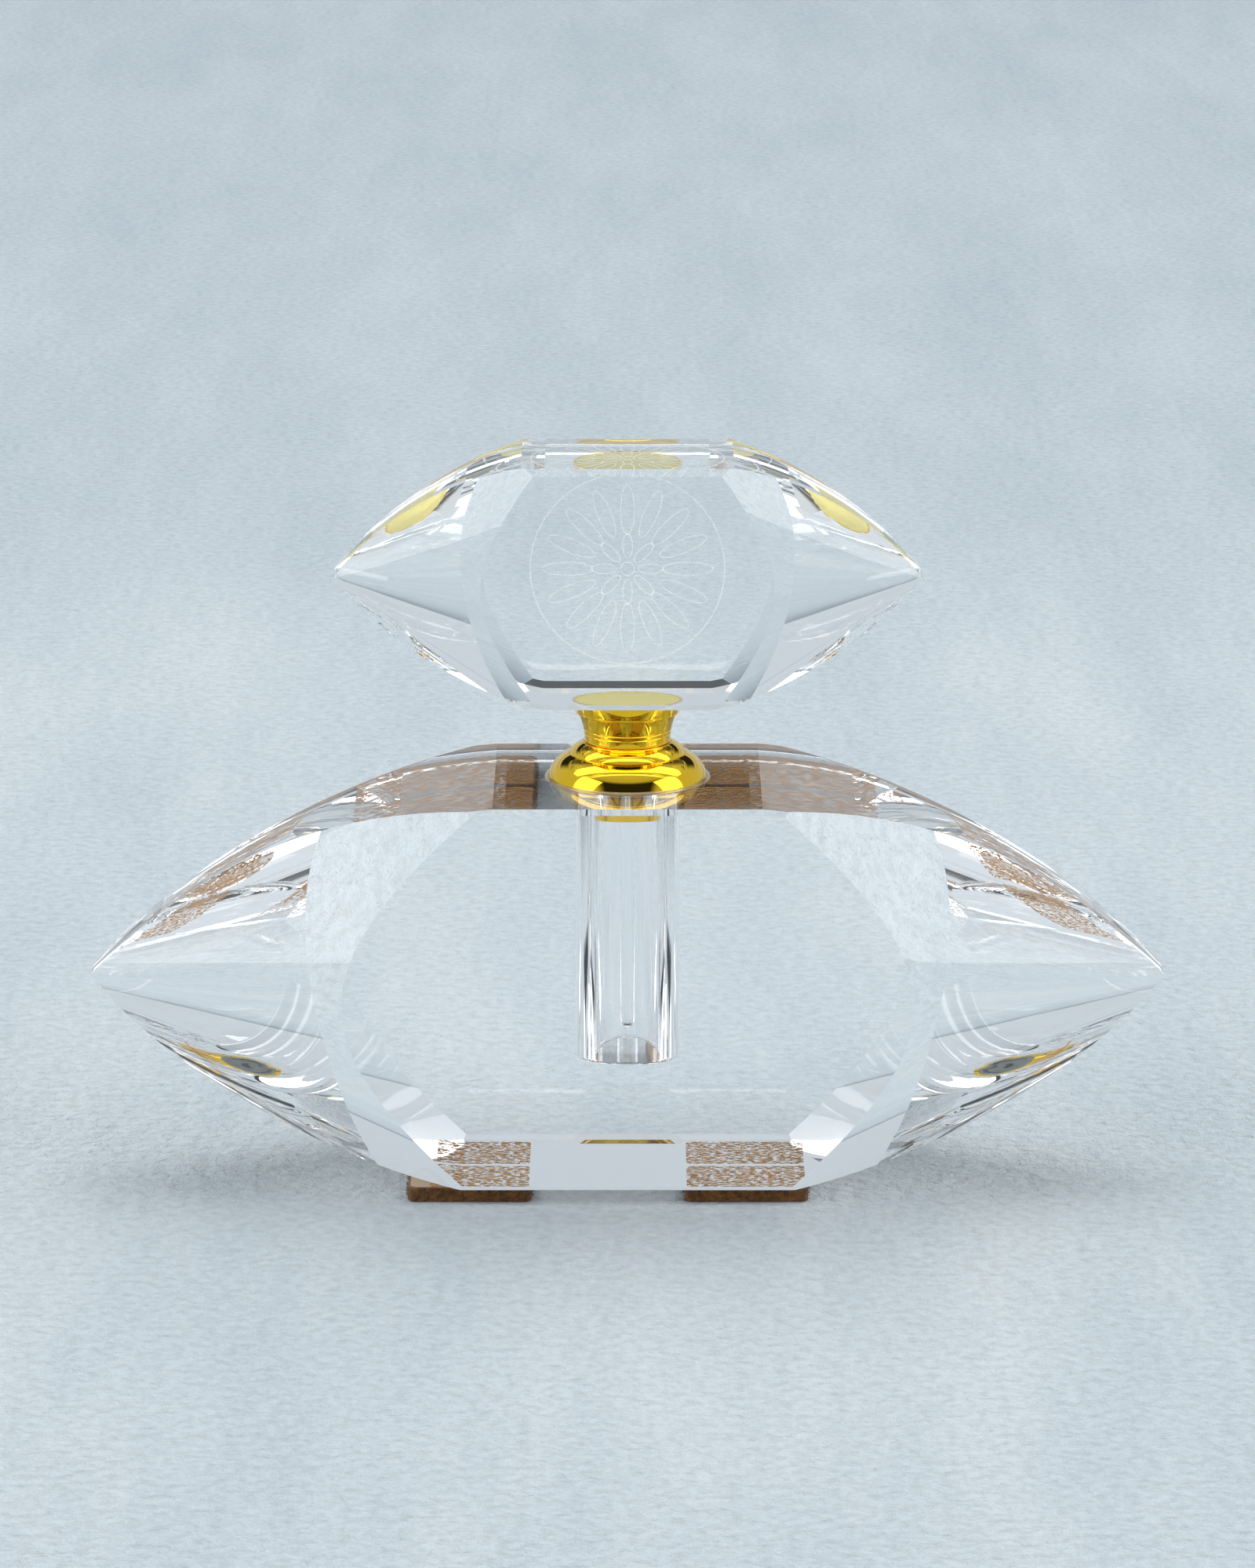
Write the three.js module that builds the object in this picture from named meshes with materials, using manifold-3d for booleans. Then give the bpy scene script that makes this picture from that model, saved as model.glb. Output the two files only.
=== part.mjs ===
// Cut-crystal perfume bottle: a lens-shaped block with a drilled well, a gold neck collar, and a
// lift-out stopper with its own crystal, gold cup, plug and glass dauber rod.
// Millimetres. +X runs along the width, -Y is the front, +Z is up. The origin is under the
// middle of the bottle, on the surface that it stands on.
import * as THREE from 'three';
import { mergeVertices } from 'three/addons/utils/BufferGeometryUtils.js';
import Module from 'manifold-3d';

const wasm = await Module();
wasm.setup();

// ---- Driving dimensions ----

// A crystal is a lens outline (top and bottom flats joined to two side tips by arcs), as deep as
// depth, whose four side faces are cones that thin it towards the tips.
const BODY = {
  halfWidth: 82.9,      // centre to a tip
  depth: 43.3,
  height: 60.1,
  tipHeight: 29.2,      // tips above the underside
  topFlat: 20.4,        // half lengths of the flats
  bottomFlat: 25.3,
  topSlope: 5,          // slope in degrees where each arc leaves its flat
  bottomSlope: 3.5,
  tipEdge: 3,           // half depth left at a tip
  chamfer: 0.8,
  coneTilt: 10.1,       // side-face cone: axis tilt and half angle in degrees
  coneAngle: 35.6,
  coneOut: 13,          // its apex beyond the tip, and past the middle plane
  coneBack: 3.35,
};
const STOPPER = {
  halfWidth: 45,
  depth: 25,
  height: 37.3,
  tipHeight: 18.6,
  topFlat: 16.1,
  bottomFlat: 12.9,
  topSlope: 14,
  bottomSlope: 11,
  tipEdge: 3.2,
  chamfer: 1,
  coneTilt: 35,
  coneAngle: 57.2,
  coneOut: 0,
  coneBack: -3.2,
};

// Well drilled in the body
const BORE_RADIUS = 8;
const BORE_DEPTH = 42.5;

// Felt pads and the adhesive film that holds each one
const PAD_SIDE = 19;
const PAD_CORNER = 1.2;
const PAD_THICKNESS = 2.25;
const FILM_THICKNESS = 0.15;
const FILM_INSET = 0.4;
const PAD_SPREAD = 42.4;        // between the left and right pads' middles
const PAD_SHIFT = -3;           // they are stuck on a little to the left
const PAD_ROW_GAP = 1;

// Gold neck collar
const COLLAR_HEIGHT = 5.7;
const COLLAR_SEAT = 4.2;        // its foot beyond the well's wall
const NECK_WALL = 0.7;
const SLEEVE_CLEARANCE = 0.15;
const SLEEVE_WALL = 1.65;
const SLEEVE_LENGTH = 4.1;
const COLLAR_WAIST = 0.39;      // where its two domes meet, as a part of foot less neck radius
const COLLAR_GROOVE = 0.15;     // step between the domes
const GLUE_BEAD_WIDTH = 0.5;
const GLUE_BEAD_HEIGHT = 0.45;
const GLUE_GAP = 0.02;

// Plastic liner in the collar
const LINER_CLEARANCE = 0.1;
const LINER_WALL = 0.9;
const LINER_DROP = 0.5;         // its top below the collar's top

// Stopper cup, plug, seal and rod
const CUP_HEIGHT = 7.45;
const CUP_FLOOR = 1;            // width of the cup's floor round the plug
const CUP_OVERHANG = 1.9;       // its lip beyond its foot
const CUP_WALL = 0.6;
const CUP_BAND = 0.35;          // raised band at the lip: how proud of the flare, how high,
const CUP_BAND_HEIGHT = 3;      // and how much wider at its top than at its foot
const CUP_BAND_TAPER = 0.5;
const CEMENT_THICKNESS = 0.5;
const CEMENT_CLEARANCE = 0.05;
const PLUG_CLEARANCE = 0.3;
const PLUG_LENGTH = 8.6;        // below the cup's foot
const PLUG_HEAD_CLEARANCE = 0.1;
const SEAL_WIDTH = 1.6;
const SEAL_DEPTH = 0.45;
const SEAL_GAP = 0.06;
const SEAL_FROM_END = 2.2;
const ROD_RADIUS = 1.78;
const ROD_CLEARANCE = 0.05;
const ROD_RISE = 0.66;          // how far up the cup the rod goes, as a part of its height
const ROD_TIP_ABOVE_WELL = 3.8;

// Facets
const ARC_STEPS = 20;
const CONE_STEPS = 112;
const ROUND_STEPS = 56;
const DOME_STEPS = 6;
const FLARE_STEPS = 5;

// ---- Levels ----

const PAD_TOP = PAD_THICKNESS + FILM_THICKNESS;
const BODY_TOP = PAD_TOP + BODY.height;
const WELL_BOTTOM = BODY_TOP - BORE_DEPTH;
const CUP_BOTTOM = BODY_TOP + COLLAR_HEIGHT;
const COLLAR_FOOT_RADIUS = BORE_RADIUS + COLLAR_SEAT;
const COLLAR_BORE_RADIUS = BORE_RADIUS - SLEEVE_CLEARANCE - SLEEVE_WALL;
const NECK_RADIUS = COLLAR_BORE_RADIUS + NECK_WALL;
const LINER_RADIUS = COLLAR_BORE_RADIUS - LINER_CLEARANCE;
const LINER_BORE_RADIUS = LINER_RADIUS - LINER_WALL;
const PLUG_RADIUS = LINER_BORE_RADIUS - PLUG_CLEARANCE;
const PLUG_BOTTOM = CUP_BOTTOM - PLUG_LENGTH;
const CUP_FOOT_RADIUS = PLUG_RADIUS + PLUG_HEAD_CLEARANCE + CUP_FLOOR + CUP_WALL;
const CUP_LIP_RADIUS = CUP_FOOT_RADIUS + CUP_OVERHANG;
const ROD_SOCKET = PLUG_LENGTH + ROD_RISE * (CUP_HEIGHT - CEMENT_THICKNESS);

// ---- Materials ----

function finish(color, roughness, metalness, opacity = 1) {
  return new THREE.MeshStandardMaterial({
    color, roughness, metalness, opacity, transparent: opacity < 1,
  });
}

const crystal = () => finish(0xe6eef2, 0.02, 0, 0.35);
const gold = () => finish(0xe3b23c, 0.14, 1);
const clearPlastic = () => finish(0xe9ece8, 0.25, 0, 0.7);
const clearGlue = () => finish(0xf1eee0, 0.15, 0, 0.6);
const cement = () => finish(0xb9a869, 0.6, 0);
const felt = () => finish(0x4a3324, 0.95, 0);
const adhesive = () => finish(0x8c7355, 0.7, 0);
const rubber = () => finish(0xdcdcd6, 0.5, 0);

// ---- Solids ----

const radians = THREE.MathUtils.degToRad;

function toManifold(geometry) {
  const bare = geometry.clone();
  bare.deleteAttribute('normal');
  bare.deleteAttribute('uv');
  const merged = mergeVertices(bare, 1e-5);
  return new wasm.Manifold(new wasm.Mesh({
    numProp: 3,
    vertProperties: new Float32Array(merged.attributes.position.array),
    triVerts: new Uint32Array(merged.index.array),
  }));
}

function toGeometry(solid) {
  const mesh = solid.getMesh();
  const geometry = new THREE.BufferGeometry();
  geometry.setAttribute('position', new THREE.BufferAttribute(mesh.vertProperties, 3));
  geometry.setIndex(new THREE.BufferAttribute(mesh.triVerts, 1));
  geometry.computeVertexNormals();
  return geometry;
}

// A ring or disc turned about Z, from [radius, height] pairs in order.
function turned(pairs, steps = ROUND_STEPS) {
  const profile = pairs.map(([radius, height]) => new THREE.Vector2(radius, height));
  const geometry = new THREE.LatheGeometry(profile, steps);
  geometry.rotateX(Math.PI / 2);
  return geometry;
}

// Lathe profiles run upwards on the outside and down on the inside.
function ring(inner, outer, bottom, top) {
  return turned([[inner, bottom], [outer, bottom], [outer, top], [inner, top], [inner, bottom]]);
}

// The arc that leaves a flat's end at a slope and comes down to the tip.
function arcToTip(flatEnd, drop, slope, halfWidth) {
  const start = radians(slope);
  const half = Math.atan2(drop, halfWidth - flatEnd) - start;
  const radius = Math.hypot(drop, halfWidth - flatEnd) / (2 * Math.sin(half));
  const points = [];
  for (let i = 0; i <= ARC_STEPS; i += 1) {
    const angle = start + (2 * half * i) / ARC_STEPS;
    points.push([
      flatEnd + radius * (Math.sin(angle) - Math.sin(start)),
      radius * (Math.cos(start) - Math.cos(angle)),
    ]);
  }
  return points;
}

// The lens outline, drawn with x across and y up, its underside at zero.
function lensOutline(block) {
  const top = arcToTip(block.topFlat, block.height - block.tipHeight, block.topSlope,
    block.halfWidth);
  const bottom = arcToTip(block.bottomFlat, block.tipHeight, block.bottomSlope,
    block.halfWidth);
  const right = [
    ...bottom.map(([x, drop]) => [x, drop]),
    ...top.slice(0, -1).reverse().map(([x, drop]) => [x, block.height - drop]),
  ];
  const left = right.map(([x, y]) => [-x, y]).reverse();
  return new THREE.Shape([...right, ...left].map(([x, y]) => new THREE.Vector2(x, y)));
}

// One of the four side faces: what its cone holds, and the thin slab that leaves the tip blunt.
function sideFace(block, sideX, sideY) {
  const reach = 3 * block.halfWidth;
  const mouth = reach * Math.tan(radians(block.coneAngle));
  const profile = [[0, 0], [mouth, reach], [0, reach]];
  const cone = new THREE.LatheGeometry(
    profile.map(([radius, along]) => new THREE.Vector2(radius, along)), CONE_STEPS,
  );
  const tilt = radians(block.coneTilt);
  const axis = new THREE.Vector3(-sideX * Math.cos(tilt), -sideY * Math.sin(tilt), 0);
  cone.applyQuaternion(
    new THREE.Quaternion().setFromUnitVectors(new THREE.Vector3(0, 1, 0), axis),
  );
  cone.translate(
    sideX * (block.halfWidth + block.coneOut), -sideY * block.coneBack, block.tipHeight,
  );
  const slab = new THREE.BoxGeometry(2 * reach, reach, 2 * reach);
  slab.translate(0, -sideY * (reach / 2 - block.tipEdge), block.tipHeight);
  return toManifold(cone).add(toManifold(slab));
}

function lensBlock(block) {
  const geometry = new THREE.ExtrudeGeometry(lensOutline(block), {
    depth: block.depth - 2 * block.chamfer,
    bevelEnabled: true,
    bevelThickness: block.chamfer,
    bevelSize: block.chamfer,
    bevelOffset: -block.chamfer,
    bevelSegments: 1,
  });
  geometry.translate(0, 0, -(block.depth / 2 - block.chamfer));
  geometry.rotateX(Math.PI / 2);
  let solid = toManifold(geometry);
  for (const sideX of [-1, 1]) {
    for (const sideY of [-1, 1]) {
      solid = solid.intersect(sideFace(block, sideX, sideY));
    }
  }
  return solid;
}

function roundedSquare(side, corner) {
  const half = side / 2;
  const inner = half - corner;
  const shape = new THREE.Shape();
  shape.moveTo(-inner, -half);
  shape.lineTo(inner, -half);
  shape.absarc(inner, -inner, corner, -Math.PI / 2, 0);
  shape.lineTo(half, inner);
  shape.absarc(inner, inner, corner, 0, Math.PI / 2);
  shape.lineTo(-inner, half);
  shape.absarc(-inner, inner, corner, Math.PI / 2, Math.PI);
  shape.lineTo(-half, -inner);
  shape.absarc(-inner, -inner, corner, Math.PI, 1.5 * Math.PI);
  return shape;
}

function plate(side, corner, thickness) {
  return new THREE.ExtrudeGeometry(roundedSquare(side, corner), {
    depth: thickness, bevelEnabled: false, curveSegments: 4,
  });
}

// ---- Assembly ----

const bottle = new THREE.Group();

function place(parent, name, geometry, material, position = [0, 0, 0]) {
  const mesh = new THREE.Mesh(geometry, material);
  mesh.name = name;
  mesh.position.set(...position);
  parent.add(mesh);
}

// Body crystal, its underside at PAD_TOP, with the blind well drilled from the top flat.
function bodyCrystal() {
  const drill = turned([
    [0, WELL_BOTTOM - PAD_TOP], [BORE_RADIUS, WELL_BOTTOM - PAD_TOP],
    [BORE_RADIUS, BODY.height + 1], [0, BODY.height + 1],
  ]);
  return toGeometry(lensBlock(BODY).subtract(toManifold(drill)));
}

// A convex stretch of a profile: a round arc between two points that stands bulge clear of the
// straight line between them, on its outer side.
function dome([startRadius, startHeight], [endRadius, endHeight], bulge) {
  const alongRadius = endRadius - startRadius;
  const alongHeight = endHeight - startHeight;
  const chord = Math.hypot(alongRadius, alongHeight);
  const radius = chord ** 2 / (8 * bulge) + bulge / 2;
  const reach = Math.asin(chord / (2 * radius));
  const points = [];
  for (let i = 0; i <= DOME_STEPS; i += 1) {
    const angle = reach * (2 * i / DOME_STEPS - 1);
    const along = (chord / 2 + radius * Math.sin(angle)) / chord;
    const out = (radius * Math.cos(angle) - radius + bulge) / chord;
    points.push([
      startRadius + alongRadius * along + alongHeight * out,
      startHeight + alongHeight * along - alongRadius * out,
    ]);
  }
  return points;
}

// Collar: a sleeve in the well, and above the crystal two domes, the upper one smaller.
function collar() {
  const sleeve = BORE_RADIUS - SLEEVE_CLEARANCE;
  const waist = NECK_RADIUS + COLLAR_WAIST * (COLLAR_FOOT_RADIUS - NECK_RADIUS);
  const waistHeight = 0.67 * COLLAR_HEIGHT;
  const footHeight = 0.05 * COLLAR_HEIGHT;
  return turned([
    [COLLAR_BORE_RADIUS, -SLEEVE_LENGTH],
    [sleeve, -SLEEVE_LENGTH],
    [sleeve, 0],
    [COLLAR_FOOT_RADIUS - footHeight, 0],
    ...dome([COLLAR_FOOT_RADIUS, footHeight], [waist, waistHeight], 0.11 * COLLAR_HEIGHT),
    ...dome([waist - COLLAR_GROOVE, waistHeight + COLLAR_GROOVE],
      [NECK_RADIUS, COLLAR_HEIGHT], 0.035 * COLLAR_HEIGHT),
    [COLLAR_BORE_RADIUS, COLLAR_HEIGHT],
    [COLLAR_BORE_RADIUS, -SLEEVE_LENGTH],
  ]);
}

// Bead of clear glue squeezed out around the collar's foot.
function glueBead() {
  const foot = COLLAR_FOOT_RADIUS + GLUE_GAP;
  return turned([
    [foot, 0],
    [foot + GLUE_BEAD_WIDTH, 0],
    [foot + 0.5 * GLUE_BEAD_WIDTH, 0.7 * GLUE_BEAD_HEIGHT],
    [foot, GLUE_BEAD_HEIGHT],
    [foot, 0],
  ]);
}

// Cup: a trumpet flare up to a raised band at the lip, open at the top, its floor holed for the
// plug.
function cup() {
  const bandFoot = CUP_HEIGHT - CUP_BAND_HEIGHT;
  const bandRadius = CUP_LIP_RADIUS - CUP_BAND_TAPER;
  const flare = bandRadius - CUP_BAND - CUP_FOOT_RADIUS;
  const outside = [[CUP_FOOT_RADIUS - 0.2, 0]];
  for (let i = 1; i <= FLARE_STEPS; i += 1) {
    const part = i / FLARE_STEPS;
    outside.push([CUP_FOOT_RADIUS + flare * part ** 2, bandFoot * part]);
  }
  outside.push([bandRadius, bandFoot], [CUP_LIP_RADIUS, CUP_HEIGHT]);
  const mouth = CUP_LIP_RADIUS - CUP_WALL;
  const well = CUP_FOOT_RADIUS - CUP_WALL;
  const inside = [
    [mouth, CUP_HEIGHT],
    [mouth, CUP_HEIGHT - CEMENT_THICKNESS],
    [well, bandFoot],
    [well, CUP_WALL],
    [PLUG_RADIUS + PLUG_HEAD_CLEARANCE, CUP_WALL],
    [PLUG_RADIUS + PLUG_HEAD_CLEARANCE, 0],
    [CUP_FOOT_RADIUS - 0.2, 0],
  ];
  return turned([...outside, ...inside]);
}

// Plug: a head that fills the cup, and a stem with a seal groove and a socket for the rod.
function plug() {
  const head = CUP_FOOT_RADIUS - CUP_WALL - PLUG_HEAD_CLEARANCE;
  const headTop = CUP_HEIGHT - CEMENT_THICKNESS - CEMENT_CLEARANCE;
  const groove = -PLUG_LENGTH + SEAL_FROM_END;
  const socket = ROD_RADIUS + ROD_CLEARANCE;
  const socketTop = -PLUG_LENGTH + ROD_SOCKET + ROD_CLEARANCE;
  return turned([
    [socket, -PLUG_LENGTH],
    [PLUG_RADIUS - 0.4, -PLUG_LENGTH],
    [PLUG_RADIUS, -PLUG_LENGTH + 0.4],
    [PLUG_RADIUS, groove],
    [PLUG_RADIUS - SEAL_DEPTH, groove],
    [PLUG_RADIUS - SEAL_DEPTH, groove + SEAL_WIDTH],
    [PLUG_RADIUS, groove + SEAL_WIDTH],
    [PLUG_RADIUS, CUP_WALL + PLUG_HEAD_CLEARANCE],
    [head, CUP_WALL + PLUG_HEAD_CLEARANCE],
    [head, headTop],
    [0, headTop],
    [0, socketTop],
    [socket, socketTop],
    [socket, -PLUG_LENGTH],
  ]);
}

function sealRing() {
  const bottom = -PLUG_LENGTH + SEAL_FROM_END + SEAL_GAP;
  const inner = PLUG_RADIUS - SEAL_DEPTH + SEAL_GAP;
  return ring(inner, LINER_BORE_RADIUS - SEAL_GAP, bottom, bottom + SEAL_WIDTH - 2 * SEAL_GAP);
}

// Dauber rod with a rounded end, drawn from its tip upwards.
function dauberRod(length) {
  const tip = [];
  for (let i = 0; i <= 8; i += 1) {
    const angle = (i / 8) * (Math.PI / 2);
    tip.push([ROD_RADIUS * Math.sin(angle), ROD_RADIUS * (1 - Math.cos(angle))]);
  }
  return turned([...tip, [ROD_RADIUS, length], [0, length]], 32);
}

place(bottle, 'crystal_body', bodyCrystal(), crystal(), [0, 0, PAD_TOP]);
place(bottle, 'neck_collar', collar(), gold(), [0, 0, BODY_TOP]);
place(bottle, 'collar_glue_bead', glueBead(), clearGlue(), [0, 0, BODY_TOP]);

const linerHeight = SLEEVE_LENGTH + COLLAR_HEIGHT - LINER_DROP;
place(bottle, 'neck_liner', ring(LINER_BORE_RADIUS, LINER_RADIUS, 0, linerHeight),
  clearPlastic(), [0, 0, BODY_TOP - SLEEVE_LENGTH]);

for (const [sideName, sideX] of [['left', -1], ['right', 1]]) {
  for (const [rowName, rowY] of [['front', -1], ['rear', 1]]) {
    const x = sideX * PAD_SPREAD / 2 + PAD_SHIFT;
    const y = rowY * (PAD_SIDE + PAD_ROW_GAP) / 2;
    place(bottle, `felt_pad_${rowName}_${sideName}`,
      plate(PAD_SIDE, PAD_CORNER, PAD_THICKNESS), felt(), [x, y, 0]);
    place(bottle, `pad_film_${rowName}_${sideName}`,
      plate(PAD_SIDE - 2 * FILM_INSET, PAD_CORNER, FILM_THICKNESS), adhesive(),
      [x, y, PAD_THICKNESS]);
  }
}

// Everything that lifts out together, drawn from the cup's foot upwards.
const stopper = new THREE.Group();
stopper.position.z = CUP_BOTTOM;
bottle.add(stopper);

place(stopper, 'stopper_cup', cup(), gold());
place(stopper, 'stopper_plug', plug(), clearPlastic());
place(stopper, 'plug_seal_ring', sealRing(), rubber());
const cementRadius = CUP_LIP_RADIUS - CUP_WALL - CEMENT_CLEARANCE;
place(stopper, 'stopper_cement', turned([
  [0, 0], [cementRadius, 0], [cementRadius, CEMENT_THICKNESS], [0, CEMENT_THICKNESS],
]), cement(), [0, 0, CUP_HEIGHT - CEMENT_THICKNESS]);
place(stopper, 'stopper_crystal', toGeometry(lensBlock(STOPPER)), crystal(),
  [0, 0, CUP_HEIGHT]);

const rodTip = WELL_BOTTOM + ROD_TIP_ABOVE_WELL;
place(bottle, 'dauber_rod', dauberRod(PLUG_BOTTOM + ROD_SOCKET - rodTip), crystal(),
  [0, 0, rodTip]);

export default bottle;
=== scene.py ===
"""Cut-crystal perfume bottle: fine crystal, gold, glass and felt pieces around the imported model."""
import math
import random

import bmesh
import bpy
from mathutils import Matrix, Vector


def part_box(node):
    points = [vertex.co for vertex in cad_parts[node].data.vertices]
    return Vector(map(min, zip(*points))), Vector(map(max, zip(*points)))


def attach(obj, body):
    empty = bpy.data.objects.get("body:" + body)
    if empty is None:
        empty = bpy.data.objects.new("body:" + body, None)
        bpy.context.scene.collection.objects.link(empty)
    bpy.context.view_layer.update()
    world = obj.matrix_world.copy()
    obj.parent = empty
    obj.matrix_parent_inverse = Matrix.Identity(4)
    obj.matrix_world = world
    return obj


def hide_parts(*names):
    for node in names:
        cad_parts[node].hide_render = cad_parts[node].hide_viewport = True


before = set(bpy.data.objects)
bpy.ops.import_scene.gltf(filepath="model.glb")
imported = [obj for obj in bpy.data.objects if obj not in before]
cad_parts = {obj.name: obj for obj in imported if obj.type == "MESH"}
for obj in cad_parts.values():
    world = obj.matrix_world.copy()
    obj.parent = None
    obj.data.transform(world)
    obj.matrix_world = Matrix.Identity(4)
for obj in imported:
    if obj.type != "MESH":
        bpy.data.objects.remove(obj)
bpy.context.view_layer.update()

MM = 0.001

# ---- Sizes of this bottle, in millimetres ----

# A crystal: lens outline of two flats and four arcs, thinned towards the tips by four cones.
BODY = {
    "half_width": 82.9, "depth": 43.3, "height": 60.1, "tip_height": 29.2,
    "top_flat": 20.4, "bottom_flat": 25.3, "top_slope": 5.0, "bottom_slope": 3.5,
    "tip_edge": 3.0, "chamfer": 0.8,
    "cone_tilt": 10.1, "cone_angle": 35.6, "cone_out": 13.0, "cone_back": 3.35,
}
STOPPER = {
    "half_width": 45.0, "depth": 25.0, "height": 37.3, "tip_height": 18.6,
    "top_flat": 16.1, "bottom_flat": 12.9, "top_slope": 14.0, "bottom_slope": 11.0,
    "tip_edge": 3.2, "chamfer": 1.0,
    "cone_tilt": 35.0, "cone_angle": 57.2, "cone_out": 0.0, "cone_back": -3.2,
}
BORE_RADIUS = 8.0
BORE_DEPTH = 42.5
BORE_CORNER = 0.5             # round between the well's floor and its wall
BORE_RIM = 0.3                # small break of the edge where the drill went in
CONTACT = 0.02                # how far glued faces sit inside the glass, so that they wet it

# Levels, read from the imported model
BODY_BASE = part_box("crystal_body")[0][2] / MM
BODY_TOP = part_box("crystal_body")[1][2] / MM
CUP_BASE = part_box("stopper_cup")[0][2] / MM
CUP_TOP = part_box("stopper_cup")[1][2] / MM
ROD_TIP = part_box("dauber_rod")[0][2] / MM
ROD_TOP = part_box("dauber_rod")[1][2] / MM

# Facets that the eye can't count
ARC_STEPS = 120
CONE_STEPS = 640
ROUND_STEPS = 160
CRYSTAL_SHARP = 2.0           # degrees past which two facets of a crystal meet in an edge


# ---- Meshes ----

def finish_mesh(name, bm, sharp=25.0):
    """The bmesh as a named object, its normals outwards and its edges sharp past an angle."""
    bmesh.ops.remove_doubles(bm, verts=bm.verts, dist=1e-7)
    bmesh.ops.recalc_face_normals(bm, faces=bm.faces)
    mesh = bpy.data.meshes.new(name)
    bm.to_mesh(mesh)
    bm.free()
    piece = bpy.data.objects.new(name, mesh)
    bpy.context.scene.collection.objects.link(piece)
    soften(piece, sharp)
    return piece


def soften(piece, sharp):
    """Smooth shading, with edges sharp past an angle in degrees."""
    for face in piece.data.polygons:
        face.use_smooth = True
    piece.data.set_sharp_from_angle(angle=math.radians(sharp))


def settle_normals(piece, most=1.0):
    """Corner normals that stray from their facet, as at a cone's apex, go back to the facet's."""
    mesh = piece.data
    normals = []
    for face in mesh.polygons:
        for corner in face.loop_indices:
            smooth = mesh.corner_normals[corner].vector
            bad = face.normal.length > 0.5 and smooth.dot(face.normal) < math.cos(math.radians(most))
            normals.append(face.normal.copy() if bad else smooth.copy())
    mesh.normals_split_custom_set(normals)


def spin_profile(profile, steps=ROUND_STEPS, closed=False):
    """A bmesh turned about Z from (radius, height) points in millimetres."""
    bm = bmesh.new()
    verts = [bm.verts.new((r * MM, 0, z * MM)) for r, z in profile]
    edges = [bm.edges.new(pair) for pair in zip(verts, verts[1:])]
    if closed:
        edges.append(bm.edges.new((verts[-1], verts[0])))
    bmesh.ops.spin(
        bm, geom=verts + edges, cent=(0, 0, 0), axis=(0, 0, 1),
        angle=2 * math.pi, steps=steps, use_merge=True,
    )
    bmesh.ops.remove_doubles(bm, verts=bm.verts, dist=1e-7)
    return bm


def arc(centre, radius, start, end, steps=10):
    """Points of a round stretch of a profile, its angles in degrees."""
    points = []
    for i in range(steps + 1):
        angle = math.radians(start + (end - start) * i / steps)
        points.append((centre[0] + radius * math.cos(angle), centre[1] + radius * math.sin(angle)))
    return points


def cut(piece, tool, operation):
    """Joins, cuts or keeps the common part of piece with tool, and drops the tool."""
    modifier = piece.modifiers.new("cut", "BOOLEAN")
    modifier.operation = operation
    modifier.solver = "MANIFOLD"
    modifier.object = tool
    depsgraph = bpy.context.evaluated_depsgraph_get()
    mesh = bpy.data.meshes.new_from_object(piece.evaluated_get(depsgraph))
    piece.modifiers.clear()
    old = piece.data
    piece.data = mesh
    bpy.data.meshes.remove(old)
    mesh.name = piece.name
    bpy.data.objects.remove(tool)


# ---- Crystals ----

def arc_to_tip(flat_end, drop, slope, half_width):
    """The outline's arc from a flat's end to the tip, as (x, drop) points."""
    start = math.radians(slope)
    half = math.atan2(drop, half_width - flat_end) - start
    radius = math.hypot(drop, half_width - flat_end) / (2 * math.sin(half))
    points = []
    for i in range(ARC_STEPS + 1):
        angle = start + 2 * half * i / ARC_STEPS
        x = flat_end + radius * (math.sin(angle) - math.sin(start))
        points.append((x, radius * (math.cos(start) - math.cos(angle))))
    return points


def lens_outline(block):
    """The crystal's whole outline from the front, as (x, height) points round it."""
    top = arc_to_tip(
        block["top_flat"], block["height"] - block["tip_height"], block["top_slope"],
        block["half_width"],
    )
    bottom = arc_to_tip(
        block["bottom_flat"], block["tip_height"], block["bottom_slope"], block["half_width"],
    )
    right = bottom + [(x, block["height"] - drop) for x, drop in reversed(top[:-1])]
    left = [(-x, z) for x, z in reversed(right)]
    return right + left


def lens_slab(name, block, base):
    """The outline as deep as the block, its front and back edges chamfered."""
    bm = bmesh.new()
    near = -block["depth"] / 2 * MM
    rim = [bm.verts.new((x * MM, near, (z + base) * MM)) for x, z in lens_outline(block)]
    face = bm.faces.new(rim)
    grown = bmesh.ops.extrude_face_region(bm, geom=[face])
    far = [v for v in grown["geom"] if isinstance(v, bmesh.types.BMVert)]
    bmesh.ops.translate(bm, verts=far, vec=(0, block["depth"] * MM, 0))
    edges = [e for e in bm.edges if abs(e.verts[0].co.y - e.verts[1].co.y) < 1e-9]
    bmesh.ops.bevel(
        bm, geom=edges, offset=block["chamfer"] * MM, offset_type="OFFSET", segments=1,
        profile=0.5, affect="EDGES", material=-1,
    )
    return finish_mesh(name, bm)


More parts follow.
